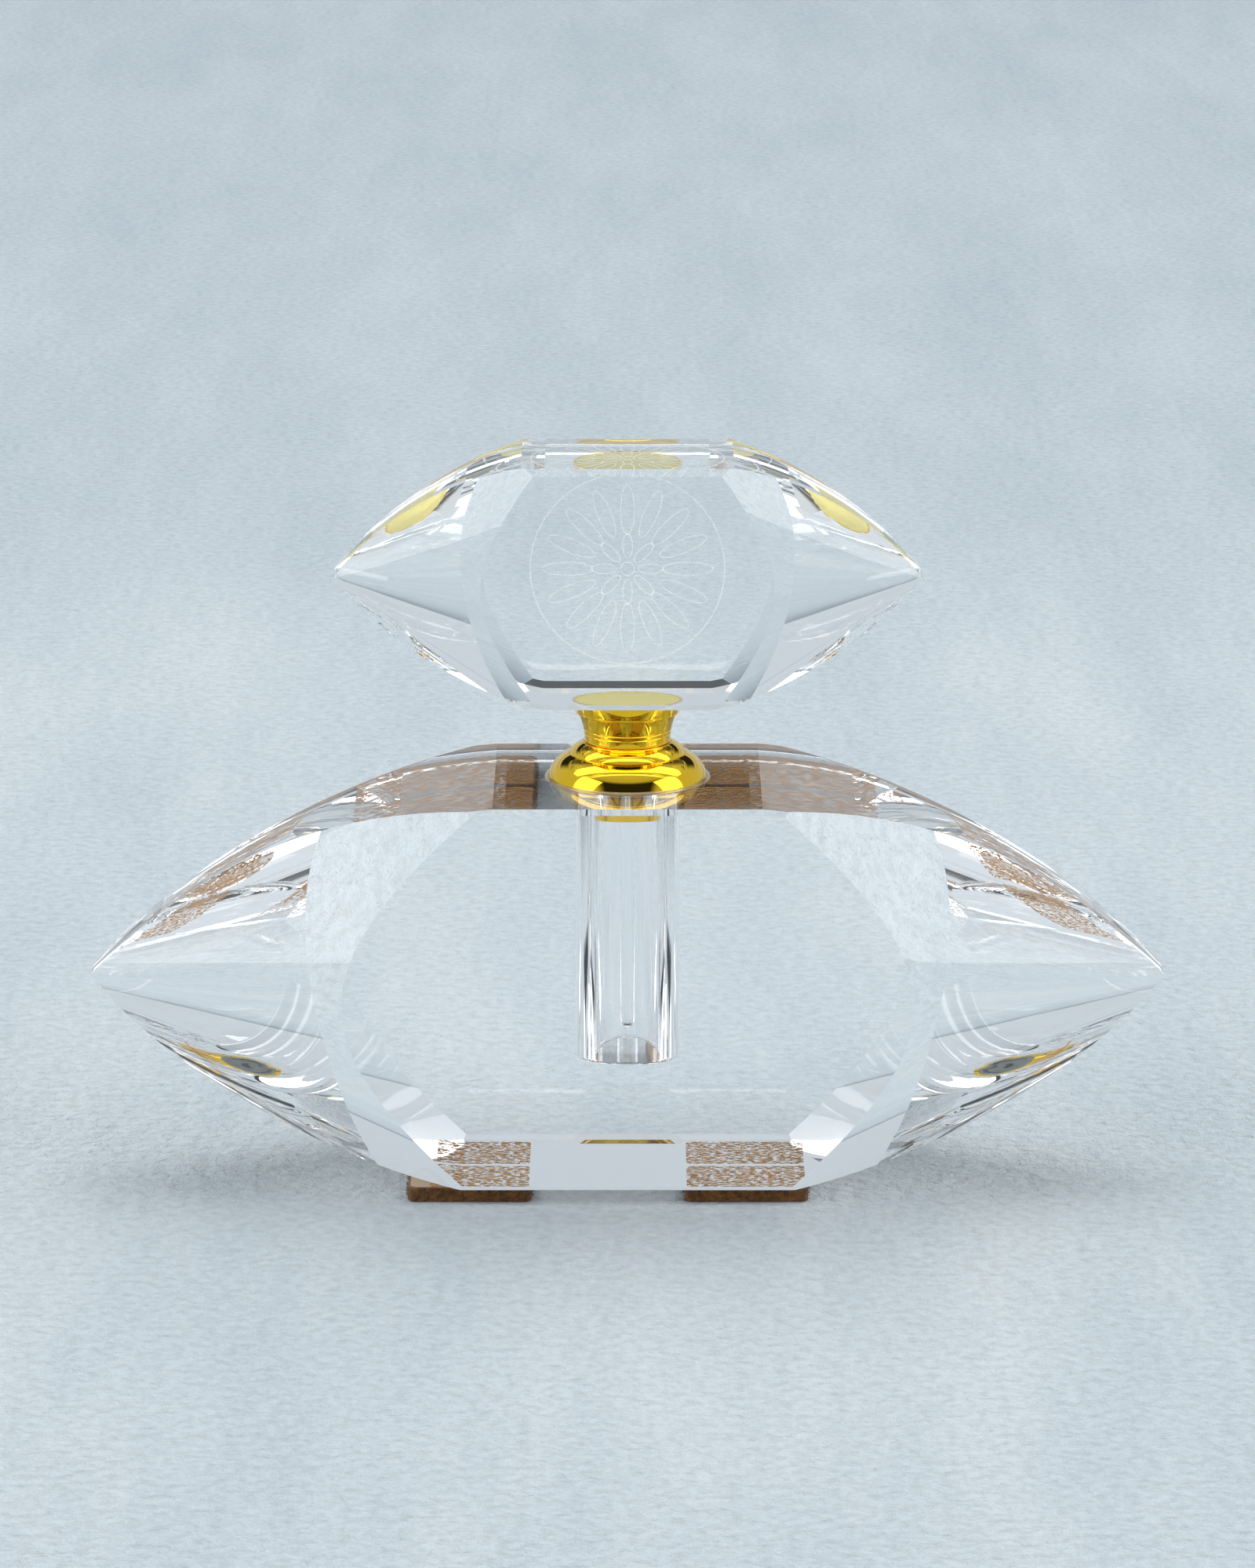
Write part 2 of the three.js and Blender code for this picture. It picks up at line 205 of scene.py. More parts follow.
def side_cone(block, base, side_x, side_y):
    """What one side face keeps: the inside of its cone, and the slab that blunts the tip."""
    reach = 3 * block["half_width"]
    mouth = reach * math.tan(math.radians(block["cone_angle"]))
    bm = bmesh.new()
    bmesh.ops.create_cone(
        bm, cap_ends=True, segments=CONE_STEPS, radius1=0, radius2=mouth * MM, depth=reach * MM,
    )
    bmesh.ops.translate(bm, verts=bm.verts, vec=(0, 0, reach / 2 * MM))
    tilt = math.radians(block["cone_tilt"])
    axis = Vector((-side_x * math.cos(tilt), -side_y * math.sin(tilt), 0))
    turn = Vector((0, 0, 1)).rotation_difference(axis).to_matrix().to_4x4()
    apex = Vector((
        side_x * (block["half_width"] + block["cone_out"]), -side_y * block["cone_back"],
        block["tip_height"] + base,
    )) * MM
    bmesh.ops.transform(bm, matrix=Matrix.Translation(apex) @ turn, verts=bm.verts)
    cone = finish_mesh("side_cone", bm)
    bm = bmesh.new()
    bmesh.ops.create_cube(bm, size=1)
    bmesh.ops.scale(bm, vec=Vector((2 * reach, reach, 2 * reach)) * MM, verts=bm.verts)
    slab_y = -side_y * (reach / 2 - block["tip_edge"]) * MM
    slab_z = (block["tip_height"] + base) * MM
    bmesh.ops.translate(bm, verts=bm.verts, vec=(0, slab_y, slab_z))
    cut(cone, finish_mesh("tip_slab", bm), "UNION")
    return cone


def lens_crystal(name, block, base):
    """A crystal standing on a level: its slab, with the four side faces ground away."""
    crystal = lens_slab(name, block, base)
    for side_x in (-1, 1):
        for side_y in (-1, 1):
            cut(crystal, side_cone(block, base, side_x, side_y), "INTERSECT")
    return crystal


def well_drill():
    """The shape of the drilled well: a flat floor with a tight corner, and a broken top edge."""
    floor = BODY_TOP - BORE_DEPTH
    corner = BORE_CORNER
    profile = [(0, floor)]
    profile += arc((BORE_RADIUS - corner, floor + corner), corner, -90, 0, 8)
    profile += [
        (BORE_RADIUS, BODY_TOP - BORE_RIM), (BORE_RADIUS + BORE_RIM, BODY_TOP),
        (BORE_RADIUS + BORE_RIM, BODY_TOP + 1), (0, BODY_TOP + 1),
    ]
    return finish_mesh("well_drill", spin_profile(profile, 256))


def make_body_crystal():
    """The body's crystal, with its drilled well."""
    crystal = lens_crystal("body_crystal", BODY, BODY_BASE)
    cut(crystal, well_drill(), "DIFFERENCE")
    soften(crystal, CRYSTAL_SHARP)
    settle_normals(crystal)
    return crystal


def make_stopper_crystal():
    """The stopper's crystal, on top of the cup."""
    crystal = lens_crystal("stopper_crystal_cut", STOPPER, CUP_TOP)
    soften(crystal, CRYSTAL_SHARP)
    settle_normals(crystal)
    return crystal


# ---- Gold ----

COLLAR_FOOT = 12.2
COLLAR_HEIGHT = CUP_BASE - BODY_TOP
NECK_RADIUS = 6.9
COLLAR_BORE = 6.2
SLEEVE_RADIUS = 7.85
SLEEVE_LENGTH = 4.1
GOLD_SHARP = 35.0
WAIST_OUT = 0.39              # where the domes meet, between the neck and the foot
WAIST_UP = 0.67               # and as a part of the collar's height
LOW_BULGE = 0.11              # how far each dome stands out, as a part of the height
HIGH_BULGE = 0.035


def dome(start, end, bulge, steps=24):
    """A round arc between two profile points that stands bulge clear of the straight line."""
    along = (end[0] - start[0], end[1] - start[1])
    chord = math.hypot(*along)
    radius = chord ** 2 / (8 * bulge) + bulge / 2
    reach = math.asin(chord / (2 * radius))
    points = []
    for i in range(steps + 1):
        angle = reach * (2 * i / steps - 1)
        part = (chord / 2 + radius * math.sin(angle)) / chord
        out = (radius * math.cos(angle) - radius + bulge) / chord
        points.append((
            start[0] + along[0] * part + along[1] * out,
            start[1] + along[1] * part - along[0] * out,
        ))
    return points


def make_collar():
    """The turned collar: a sleeve, a broad dome, a groove, and a smaller flatter dome."""
    waist = NECK_RADIUS + WAIST_OUT * (COLLAR_FOOT - NECK_RADIUS)
    waist_height = WAIST_UP * COLLAR_HEIGHT
    top = COLLAR_HEIGHT - 0.02
    profile = [(COLLAR_BORE, -SLEEVE_LENGTH), (SLEEVE_RADIUS, -SLEEVE_LENGTH)]
    profile += [(SLEEVE_RADIUS, 0.02), (COLLAR_FOOT - 0.2, 0.02)]
    profile += arc((COLLAR_FOOT - 0.2, 0.2), 0.18, -90, 0, 6)
    profile += dome((COLLAR_FOOT, 0.29), (waist, waist_height), LOW_BULGE * COLLAR_HEIGHT)
    profile += [(waist - 0.12, waist_height - 0.06), (waist - 0.2, waist_height + 0.02)]
    profile += dome(
        (waist - 0.1, waist_height + 0.15), (NECK_RADIUS, top - 0.12),
        HIGH_BULGE * COLLAR_HEIGHT, 16,
    )
    profile += arc((NECK_RADIUS - 0.15, top - 0.15), 0.15, 10, 90, 5)
    profile += [(COLLAR_BORE + 0.1, top), (COLLAR_BORE, top - 0.1)]
    raised = [(r, z + BODY_TOP) for r, z in profile]
    return finish_mesh("collar_turned", spin_profile(raised, closed=True), GOLD_SHARP)


def make_glue_bead():
    """The clear bead of glue squeezed out around the collar's foot."""
    foot = COLLAR_FOOT + 0.02
    profile = [(foot - 0.3, 0.01), (foot + 0.5, 0.01)]
    profile += [(foot + 0.42, 0.16), (foot + 0.22, 0.3), (foot + 0.02, 0.42)]
    raised = [(r, z + BODY_TOP) for r, z in profile]
    return finish_mesh("glue_bead", spin_profile(raised, closed=True), 60)


CUP_FOOT = 6.6
CUP_LIP = 8.5
CUP_WALL = 0.6
CUP_THROAT = 5.0              # the hole in the cup's foot, round the plug
CUP_BAND = 3.0                # the band at the lip: its height, how proud, how much it widens
CUP_BAND_PROUD = 0.35
CUP_BAND_TAPER = 0.5
CUP_LINES = (0.3, 0.45)       # heights of the two turned lines, as parts of the flare


def cup_flare(height, top):
    """The cup's outer radius at a height, with two fine turned lines low on the flare."""
    wide = CUP_LIP - CUP_BAND_TAPER - CUP_BAND_PROUD
    radius = CUP_FOOT + (wide - CUP_FOOT) * (height / top) ** 2
    for line in CUP_LINES:
        radius -= 0.1 * math.exp(-((height - line * top) / 0.08) ** 2)
    return radius


def make_cup():
    """The spun cup: a rounded foot, a flare like a trumpet, and a raised round lip band."""
    height = CUP_TOP - CUP_BASE
    lip = height - CUP_BAND
    outside = [(CUP_FOOT - 0.32, 0.02)]
    outside += arc((CUP_FOOT - 0.2, 0.22), 0.22, -80, 0, 6)
    steps = 96
    for i in range(1, steps + 1):
        level = 0.3 + (lip - 0.3) * i / steps
        outside.append((cup_flare(level, lip), level))
    band = CUP_LIP - CUP_BAND_TAPER
    outside += [(band - CUP_BAND_PROUD - 0.04, lip + 0.04)]
    outside += arc((band - 0.22, lip + 0.28), 0.22, -90, 0, 8)
    outside += dome((band, lip + 0.34), (CUP_LIP, height - 0.1), 0.1, 12)
    outside += [(CUP_LIP - 0.08, height + CONTACT)]
    inside = [(CUP_LIP - CUP_WALL + 0.1, height + CONTACT)]
    inside += [(CUP_LIP - CUP_WALL + 0.1, height - 0.6), (CUP_FOOT - CUP_WALL, 0.9 * lip)]
    inside += [(CUP_FOOT - CUP_WALL, CUP_WALL), (CUP_THROAT, CUP_WALL), (CUP_THROAT, 0.02)]
    raised = [(r, z + CUP_BASE) for r, z in outside + inside]
    return finish_mesh("cup_spun", spin_profile(raised, closed=True), GOLD_SHARP)


def make_cement():
    """The disc of cement in the cup's mouth, against the crystal."""
    radius = CUP_LIP - CUP_WALL + 0.05
    low = CUP_TOP - 0.5
    top = CUP_TOP + CONTACT
    profile = [(0, low), (radius, low), (radius, top), (0, top)]
    return finish_mesh("cement_disc", spin_profile(profile))


ROD_RADIUS = 1.78


def make_rod():
    """The fire-polished dauber rod, its tip slightly swollen by the flame."""
    radius = ROD_RADIUS
    profile = arc((0, ROD_TIP + radius), radius, -90, 0, 14)
    profile += [(radius - 0.06, ROD_TIP + 3.2), (radius - 0.04, ROD_TIP + 7)]
    profile += [(radius - 0.02, ROD_TOP - 0.1), (radius - 0.12, ROD_TOP), (0, ROD_TOP)]
    return finish_mesh("glass_rod", spin_profile(profile, 96), 40)


# ---- Etched star on the stopper's back ----

RING_RADIUS = 14.9
LINE_WIDTH = 0.17
RING_LINE_WIDTH = 0.22
ETCH_DEPTH = 0.05
ETCH_INSET = 0.04             # how far behind the polished face the lines end
OVAL_STEPS = 32
EYE_STEPS = 24

# As parts of the ring's radius: the eye's radius, and for each row of petals how many there are,
# where their middles lie, and their half length and half breadth
EYE = 0.07
PETAL_ROWS = ((16, 0.62, 0.26, 0.07), (8, 0.24, 0.13, 0.05))


def stroke(bm, points, width=LINE_WIDTH):
    """A closed thin slab along (x, z) points about the stopper's middle, inside its back face."""
    far = (STOPPER["depth"] / 2 - ETCH_INSET) * MM
    near = far - ETCH_DEPTH * MM
    middle = CUP_TOP + STOPPER["height"] / 2
    count = len(points)
    rows = []
    for i, (x, z) in enumerate(points):
        before = points[i - 1]
        after = points[(i + 1) % count]
        along = Vector((after[0] - before[0], after[1] - before[1])).normalized() * width / 2
        rows.append([
            bm.verts.new(((x - side * along.y) * MM, y, (z + side * along.x + middle) * MM))
            for side, y in ((1, near), (1, far), (-1, far), (-1, near))
        ])
    for a, b in zip(rows, rows[1:] + rows[:1]):
        for i in range(4):
            bm.faces.new((a[i], a[(i + 1) % 4], b[(i + 1) % 4], b[i]))


def oval(centre, long, short, turn, steps):
    """Points of an ellipse whose long half axis is turned from +x, in degrees."""
    cos, sin = math.cos(math.radians(turn)), math.sin(math.radians(turn))
    points = []
    for i in range(steps):
        angle = 2 * math.pi * i / steps
        u, v = long * math.cos(angle), short * math.sin(angle)
        points.append((centre[0] + u * cos - v * sin, centre[1] + u * sin + v * cos))
    return points


def petal_row(bm, count, middle, reach, breadth):
    """Equal narrow petals that point outwards, spaced evenly round the centre."""
    for i in range(count):
        turn = 360 * i / count
        angle = math.radians(turn)
        centre = (middle * math.cos(angle), middle * math.sin(angle))
        stroke(bm, oval(centre, reach, breadth, turn, OVAL_STEPS))


def make_motif():
    """A ring round a plain wheel-cut star of two rows of petals, drawn in fine matt lines."""
    bm = bmesh.new()
    stroke(bm, oval((0, 0), RING_RADIUS, RING_RADIUS, 0, ARC_STEPS), RING_LINE_WIDTH)
    for count, middle, reach, breadth in PETAL_ROWS:
        petal_row(bm, count, middle * RING_RADIUS, reach * RING_RADIUS, breadth * RING_RADIUS)
    stroke(bm, oval((0, 0), EYE * RING_RADIUS, EYE * RING_RADIUS, 0, EYE_STEPS))
    return finish_mesh("etched_motif", bm, 30)


# ---- Felt feet ----

FIBRES = 700                  # loose fibres that show on each pad's sides
FIBRE_RADIUS = 0.035
PAD_CORNER = 1.2
PAD_EASE = 0.35               # how far the pad's rims are rounded
PAD_UNEVEN = 0.05             # how far its cut sides wander
FILM_STRIPS = 24
FILM_STRETCH = 0.5            # how far the adhesive reaches up to the arc

PADS = [f"{row}_{side}" for row in ("front", "rear") for side in ("left", "right")]


def rounded_plate(low, high, corner, edge):
    """A bmesh plate between two corners in metres, its uprights rounded and its rims eased."""
    bm = bmesh.new()
    bmesh.ops.create_cube(bm, size=1)
    size = Vector(high) - Vector(low)
    bmesh.ops.scale(bm, vec=size, verts=bm.verts)
    bmesh.ops.translate(bm, verts=bm.verts, vec=(Vector(low) + Vector(high)) / 2)
    upright = [e for e in bm.edges if abs(e.verts[0].co.z - e.verts[1].co.z) > size.z / 2]
    bmesh.ops.bevel(
        bm, geom=upright, offset=corner * MM, offset_type="OFFSET", segments=6, profile=0.5,
        affect="EDGES", material=-1,
    )
    if edge:
        rims = [e for e in bm.edges if len(e.link_faces) == 2 and e.calc_face_angle() > 1.2]
        bmesh.ops.bevel(
            bm, geom=rims, offset=edge * MM, offset_type="OFFSET", segments=3, profile=0.5,
            affect="EDGES", material=-1,
        )
    return bm


def add_fibre(bm, rng, low, high):
    """A short wool fibre that starts inside a side of the pad and curls out of it."""
    side = rng.choice((0, 1))
    end = rng.choice((low, high))
    start = [rng.uniform(low[i] + 1.2 * MM, high[i] - 1.2 * MM) for i in (0, 1)]
    outward = 1 if end is high else -1
    start[side] = end[side] - outward * 0.1 * MM
    point = Vector((*start, rng.uniform(low[2] + 0.35 * MM, high[2] - 0.25 * MM)))
    heading = Vector((rng.uniform(-1, 1), rng.uniform(-1, 1), rng.uniform(-0.25, 0.3)))
    heading[side] = outward * rng.uniform(0.25, 1)
    rows = []
    for _ in range(4):
        across = heading.cross(Vector((0, 0, 1))).normalized()
        corners = (across, Vector((0, 0, 1)), -across)
        rows.append([bm.verts.new(point + corner * FIBRE_RADIUS * MM) for corner in corners])
        point = point + heading.normalized() * rng.uniform(0.1, 0.22) * MM
        heading += Vector([rng.uniform(-0.5, 0.5) for _ in range(2)] + [rng.uniform(-0.2, 0.2)])
    for near, far in zip(rows, rows[1:]):
        for i in range(3):
            bm.faces.new((near[i], near[(i + 1) % 3], far[(i + 1) % 3], far[i]))
    bm.faces.new(rows[0])
    bm.faces.new(rows[-1])


def make_pad(place, seed):
    """A cut felt pad, its sides a little uneven and its loose fibres standing out."""
    low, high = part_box(f"felt_pad_{place}")
    bm = rounded_plate(low, high, PAD_CORNER, PAD_EASE)
    bmesh.ops.triangulate(bm, faces=[f for f in bm.faces if len(f.verts) > 4])
    bmesh.ops.subdivide_edges(bm, edges=bm.edges, cuts=2, use_grid_fill=True)
    rng = random.Random(seed)
    for vert in bm.verts:
        if low[2] + 0.1 * MM < vert.co.z < high[2] - 0.1 * MM:
            vert.co += Vector((rng.uniform(-1, 1), rng.uniform(-1, 1), 0)) * PAD_UNEVEN * MM
    for _ in range(FIBRES):
        add_fibre(bm, rng, low, high)
    return finish_mesh(f"felt_{place}", bm, 60)


def underside(x):
    """Height of the body's underside at x, in metres: flat in the middle, then an arc."""
    reach = abs(x) / MM
    if reach <= BODY["bottom_flat"]:
        return BODY_BASE * MM
    curve = arc_to_tip(
        BODY["bottom_flat"], BODY["tip_height"], BODY["bottom_slope"], BODY["half_width"],
    )
    rise = next(drop for along, drop in curve if along >= reach)
    return (BODY_BASE + rise) * MM


def make_film(place):
    """The adhesive, its top pressed to the crystal as far up the arc as it can stretch."""
    low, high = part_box(f"pad_film_{place}")
    low = (low[0], low[1], low[2] + 0.03 * MM)
    bm = rounded_plate(low, high, PAD_CORNER, 0)
    for i in range(1, FILM_STRIPS):
        x = low[0] + (high[0] - low[0]) * i / FILM_STRIPS
        bmesh.ops.bisect_plane(
            bm, geom=bm.verts[:] + bm.edges[:] + bm.faces[:], plane_co=(x, 0, 0),
            plane_no=(1, 0, 0),
        )
    for vert in bm.verts:
        if vert.co.z > high[2] - 0.01 * MM:
            rise = underside(vert.co.x) - BODY_BASE * MM
            stuck = rise < FILM_STRETCH * MM
            vert.co.z += CONTACT * MM + (rise if stuck else -0.05 * MM)
    return finish_mesh(f"film_{place}", bm)


# ---- Materials ----

def colour(code):
    """An sRGB hex colour as linear RGBA."""
    channels = [int(code[i:i + 2], 16) / 255 for i in (0, 2, 4)]
    linear = [c / 12.92 if c <= 0.04045 else ((c + 0.055) / 1.055) ** 2.4 for c in channels]
    return (*linear, 1.0)


def new_material(name):
    """An empty material and its node tree."""
    material = bpy.data.materials.new(name)
    material.use_nodes = True
    tree = material.node_tree
    tree.nodes.clear()
    return material, tree


def add_node(tree, kind, settings=None, links=None):
    """A node with its settings, where a key with a capital or a number is an input socket."""
    node = tree.nodes.new(kind)
    for key, value in (settings or {}).items():
        if isinstance(key, int) or key[0].isupper():
            node.inputs[key].default_value = value
        else:
            setattr(node, key, value)
    for key, source in (links or {}).items():
        tree.links.new(source, node.inputs[key])
    return node


def shader_out(tree, shader):
    """Joins the finished shader to the material's surface."""
    add_node(tree, "ShaderNodeOutputMaterial", links={"Surface": shader.outputs[0]})


def lead_crystal(name):
    """Polished lead crystal: clear and heavy, its faces with faint lapping waves."""
    material, tree = new_material(name)
    place = add_node(tree, "ShaderNodeTexCoord")
    waves = add_node(
        tree, "ShaderNodeTexNoise", {"Scale": 60.0, "Detail": 2.0},
        {"Vector": place.outputs["Object"]},
    )
    bump = add_node(
        tree, "ShaderNodeBump", {"Strength": 0.02, "Distance": 0.0001},
        {"Height": waves.outputs["Fac"]},
    )
    glass = add_node(
        tree, "ShaderNodeBsdfPrincipled",
        {"Base Color": (1, 1, 1, 1), "Roughness": 0.0, "IOR": 1.53,
         "Transmission Weight": 1.0},
        {"Normal": bump.outputs["Normal"]},
    )
    shader_out(tree, glass)
    return material


def gold_plate(name):
    """Gold-plated brass, spun on a lathe and buffed: rich yellow, its roughness a little uneven."""
    material, tree = new_material(name)
    place = add_node(tree, "ShaderNodeTexCoord")
    smear = add_node(
        tree, "ShaderNodeTexNoise", {"Scale": 400.0, "Detail": 3.0},
        {"Vector": place.outputs["Object"]},
    )
    rough = add_node(
        tree, "ShaderNodeMapRange", {"To Min": 0.02, "To Max": 0.07},
        {"Value": smear.outputs["Fac"]},
    )
    metal = add_node(
        tree, "ShaderNodeBsdfPrincipled",
        {"Base Color": colour("F9C92F"), "Metallic": 1.0},
        {"Roughness": rough.outputs["Result"]},
    )
    shader_out(tree, metal)
    return material


def gilt_cement(name):
    """Clear yellowish cement with the gold of the cup shining through it, not quite even."""
    material, tree = new_material(name)
    place = add_node(tree, "ShaderNodeTexCoord")
    mottle = add_node(
        tree, "ShaderNodeTexNoise", {"Scale": 700.0, "Detail": 4.0},
        {"Vector": place.outputs["Object"]},
    )
    rough = add_node(
        tree, "ShaderNodeMapRange", {"To Min": 0.3, "To Max": 0.5},
        {"Value": mottle.outputs["Fac"]},
    )
    cement = add_node(
        tree, "ShaderNodeBsdfPrincipled", {"Base Color": colour("F6E88A"), "Metallic": 0.55},
        {"Roughness": rough.outputs["Result"]},
    )
    shader_out(tree, cement)
    return material


def plain(name, code, roughness, transmission):
    """A cast or moulded surface with slight mottling."""
    material, tree = new_material(name)
    place = add_node(tree, "ShaderNodeTexCoord")
    mottle = add_node(
        tree, "ShaderNodeTexNoise", {"Scale": 300.0, "Detail": 4.0},
        {"Vector": place.outputs["Object"]},
    )
    rough = add_node(
        tree, "ShaderNodeMapRange", {"To Min": roughness * 0.8, "To Max": roughness * 1.2},
        {"Value": mottle.outputs["Fac"]},
    )
    surface = add_node(
        tree, "ShaderNodeBsdfPrincipled",
        {"Base Color": colour(code), "IOR": 1.5, "Transmission Weight": transmission},
        {"Roughness": rough.outputs["Result"]},
    )
    shader_out(tree, surface)
    return material


def brown_felt(name):
    """Pressed wool felt: matt brown with lighter and darker fibres and a soft sheen."""
    material, tree = new_material(name)
    place = add_node(tree, "ShaderNodeTexCoord")
    fibre = add_node(
        tree, "ShaderNodeTexNoise", {"Scale": 1300.0, "Detail": 5.0, "Roughness": 0.75},
        {"Vector": place.outputs["Object"]},
    )
    ramp = add_node(tree, "ShaderNodeValToRGB", links={"Fac": fibre.outputs["Fac"]})
    ramp.color_ramp.elements[0].position = 0.35
    ramp.color_ramp.elements[0].color = colour("3E2409")
    ramp.color_ramp.elements[1].position = 0.68
    ramp.color_ramp.elements[1].color = colour("9E6622")
    bump = add_node(
        tree, "ShaderNodeBump", {"Strength": 1.0, "Distance": 0.0004},
        {"Height": fibre.outputs["Fac"]},
    )
    felt = add_node(
        tree, "ShaderNodeBsdfPrincipled",
        {"Roughness": 0.95, "Sheen Weight": 0.3, "Sheen Roughness": 0.5},
        {"Base Color": ramp.outputs["Color"], "Normal": bump.outputs["Normal"]},
    )
    shader_out(tree, felt)
    return material


def patchy_film(name):
    """Adhesive that wets the glass in brown patches, over its own pale backing."""
    material, tree = new_material(name)
    place = add_node(tree, "ShaderNodeTexCoord")
    grain = add_node(
        tree, "ShaderNodeVectorMath", {"operation": "MULTIPLY", 1: (0.6, 1.0, 1.0)},
        {0: place.outputs["Object"]},
    )
    blots = add_node(
        tree, "ShaderNodeTexNoise", {"Scale": 1700.0, "Detail": 4.0, "Roughness": 0.6},
        {"Vector": grain.outputs["Vector"]},
    )
    wet = add_node(tree, "ShaderNodeValToRGB", links={"Fac": blots.outputs["Fac"]})
    wet.color_ramp.elements[0].position = 0.49
    wet.color_ramp.elements[0].color = (0, 0, 0, 1)
    wet.color_ramp.elements[1].position = 0.53
    wet.color_ramp.elements[1].color = (1, 1, 1, 1)
    tint = add_node(tree, "ShaderNodeValToRGB", links={"Fac": blots.outputs["Fac"]})
    tint.color_ramp.elements[0].position = 0.5
    tint.color_ramp.elements[0].color = colour("F0B566")
    tint.color_ramp.elements[1].position = 0.66
    tint.color_ramp.elements[1].color = colour("9C6128")
    parts = add_node(tree, "ShaderNodeSeparateXYZ", links={0: place.outputs["Object"]})
    glued = add_node(
        tree, "ShaderNodeMapRange",
        {"From Min": (BODY_BASE - 0.02) * MM, "From Max": BODY_BASE * MM},
        {"Value": parts.outputs["Z"]},
    )
    cover = add_node(
        tree, "ShaderNodeMix", {"data_type": "RGBA", 6: (1, 1, 1, 1)},
        {0: glued.outputs["Result"], 7: wet.outputs["Color"]},
    )
    shade = add_node(
        tree, "ShaderNodeMix", {"data_type": "RGBA", 6: colour("BFA88F")},
        {0: glued.outputs["Result"], 7: tint.outputs["Color"]},
    )
    film = add_node(
        tree, "ShaderNodeBsdfPrincipled", {"Roughness": 0.8},
        {"Base Color": shade.outputs[2], "Alpha": cover.outputs[2]},
    )
    shader_out(tree, film)
    return material


def board_tone(tree, place, parts):
    """The board's clouded tone, dragged along by the brush, and greyer far off."""
    away = add_node(
        tree, "ShaderNodeMapRange",
        {"interpolation_type": "SMOOTHSTEP", "From Min": 0.3, "From Max": 0.5},
        {"Value": parts.outputs["Y"]},
    )
    drag = add_node(
        tree, "ShaderNodeVectorMath", {"operation": "MULTIPLY", 1: (1.0, 0.18, 1.0)},
        {0: place.outputs["Object"]},
    )
    cloud = add_node(
        tree, "ShaderNodeTexNoise", {"Scale": 26.0, "Detail": 9.0, "Roughness": 0.66},
        {"Vector": drag.outputs["Vector"]},
    )
    tone = add_node(tree, "ShaderNodeValToRGB", links={"Fac": cloud.outputs["Fac"]})
    tone.color_ramp.elements[0].position = 0.3
    tone.color_ramp.elements[0].color = colour("CDD7DD")
    tone.color_ramp.elements[1].position = 0.7
    tone.color_ramp.elements[1].color = colour("E0E7EA")
    far = add_node(
        tree, "ShaderNodeMix",
        {"data_type": "RGBA", "blend_type": "MULTIPLY", 7: colour("F4F6F7")},
        {0: away.outputs["Result"], 6: tone.outputs["Color"]},
    )
    return far.outputs[2]


def board_level(tree, place, parts):
    """How bright the board is: darker in fine random specks, and lighter towards its far end as
    painted light that evens out the lamps' fall-off.
    """
    speck = add_node(
        tree, "ShaderNodeTexNoise", {"Scale": 520.0, "Detail": 3.0},
        {"Vector": place.outputs["Object"]},
    )
    speck_tone = add_node(
        tree, "ShaderNodeMapRange",
        {"From Min": 0.3, "From Max": 0.6, "To Min": 0.86, "To Max": 1.0},
        {"Value": speck.outputs["Fac"]},
    )
    # Painted light: the board is made up to 12% lighter from 0.8 m to 2.2 m away, where the lamps
    # light it less.
    painted_far_light = add_node(
        tree, "ShaderNodeMapRange",
        {"From Min": 0.8, "From Max": 2.2, "To Min": 1.0, "To Max": 1.12},
        {"Value": parts.outputs["Y"]},
    )
    level = add_node(
        tree, "ShaderNodeMath", {"operation": "MULTIPLY"},
        {0: speck_tone.outputs["Result"], 1: painted_far_light.outputs["Result"]},
    )
    return level.outputs["Value"]


def plaster_floor(name):
    """Matt pale blue-grey board, brushed with plaster: grainy near the bottle, clouded far off."""
    material, tree = new_material(name)
    place = add_node(tree, "ShaderNodeTexCoord")
    parts = add_node(tree, "ShaderNodeSeparateXYZ", links={0: place.outputs["Object"]})
    # The board's colour carries the painted light on its far end, along with its random specks.
    tone_specks_and_far_light = add_node(
        tree, "ShaderNodeVectorMath", {"operation": "SCALE"},
        {"Vector": board_tone(tree, place, parts), "Scale": board_level(tree, place, parts)},
    )
    grit = add_node(
        tree, "ShaderNodeTexNoise", {"Scale": 300.0, "Detail": 5.0, "Roughness": 0.65},
        {"Vector": place.outputs["Object"]},
    )
    relief = add_node(
        tree, "ShaderNodeBump", {"Strength": 0.9, "Distance": 0.003},
        {"Height": grit.outputs["Fac"]},
    )
    board = add_node(
        tree, "ShaderNodeBsdfPrincipled", {"Roughness": 0.9},
        {"Base Color": tone_specks_and_far_light.outputs["Vector"], "Normal": relief.outputs["Normal"]},
    )
    shader_out(tree, board)
    return material


def frosted_glowing_line(name):
    """A lightly etched line: glass left matt white by the cut, with a faint painted glow so that the
    line shows white.
    """
    material, tree = new_material(name)
    place = add_node(tree, "ShaderNodeTexCoord")
    grain = add_node(
        tree, "ShaderNodeTexNoise", {"Scale": 2500.0, "Detail": 3.0},
        {"Vector": place.outputs["Object"]},
    )
    cover = add_node(
        tree, "ShaderNodeMapRange", {"To Min": 0.2, "To Max": 0.5},
        {"Value": grain.outputs["Fac"]},
    )
    # Painted glow: a faint emission makes the lines shine white, though they are no lamp.
    frost_and_glow = add_node(
        tree, "ShaderNodeBsdfPrincipled",
        {"Base Color": colour("F4F8FA"), "Roughness": 0.8,
         "Emission Color": colour("F4F8FA"), "Emission Strength": 0.35},
        {"Alpha": cover.outputs["Result"]},
    )
    shader_out(tree, frost_and_glow)
    return material


# ---- Studio ----

CAMERA_DISTANCE = 1042.7
CAMERA_HEIGHT = 323.7
CAMERA_PITCH = 14.13
CAMERA_LENS = 160.5           # on a 36 mm frame's long side


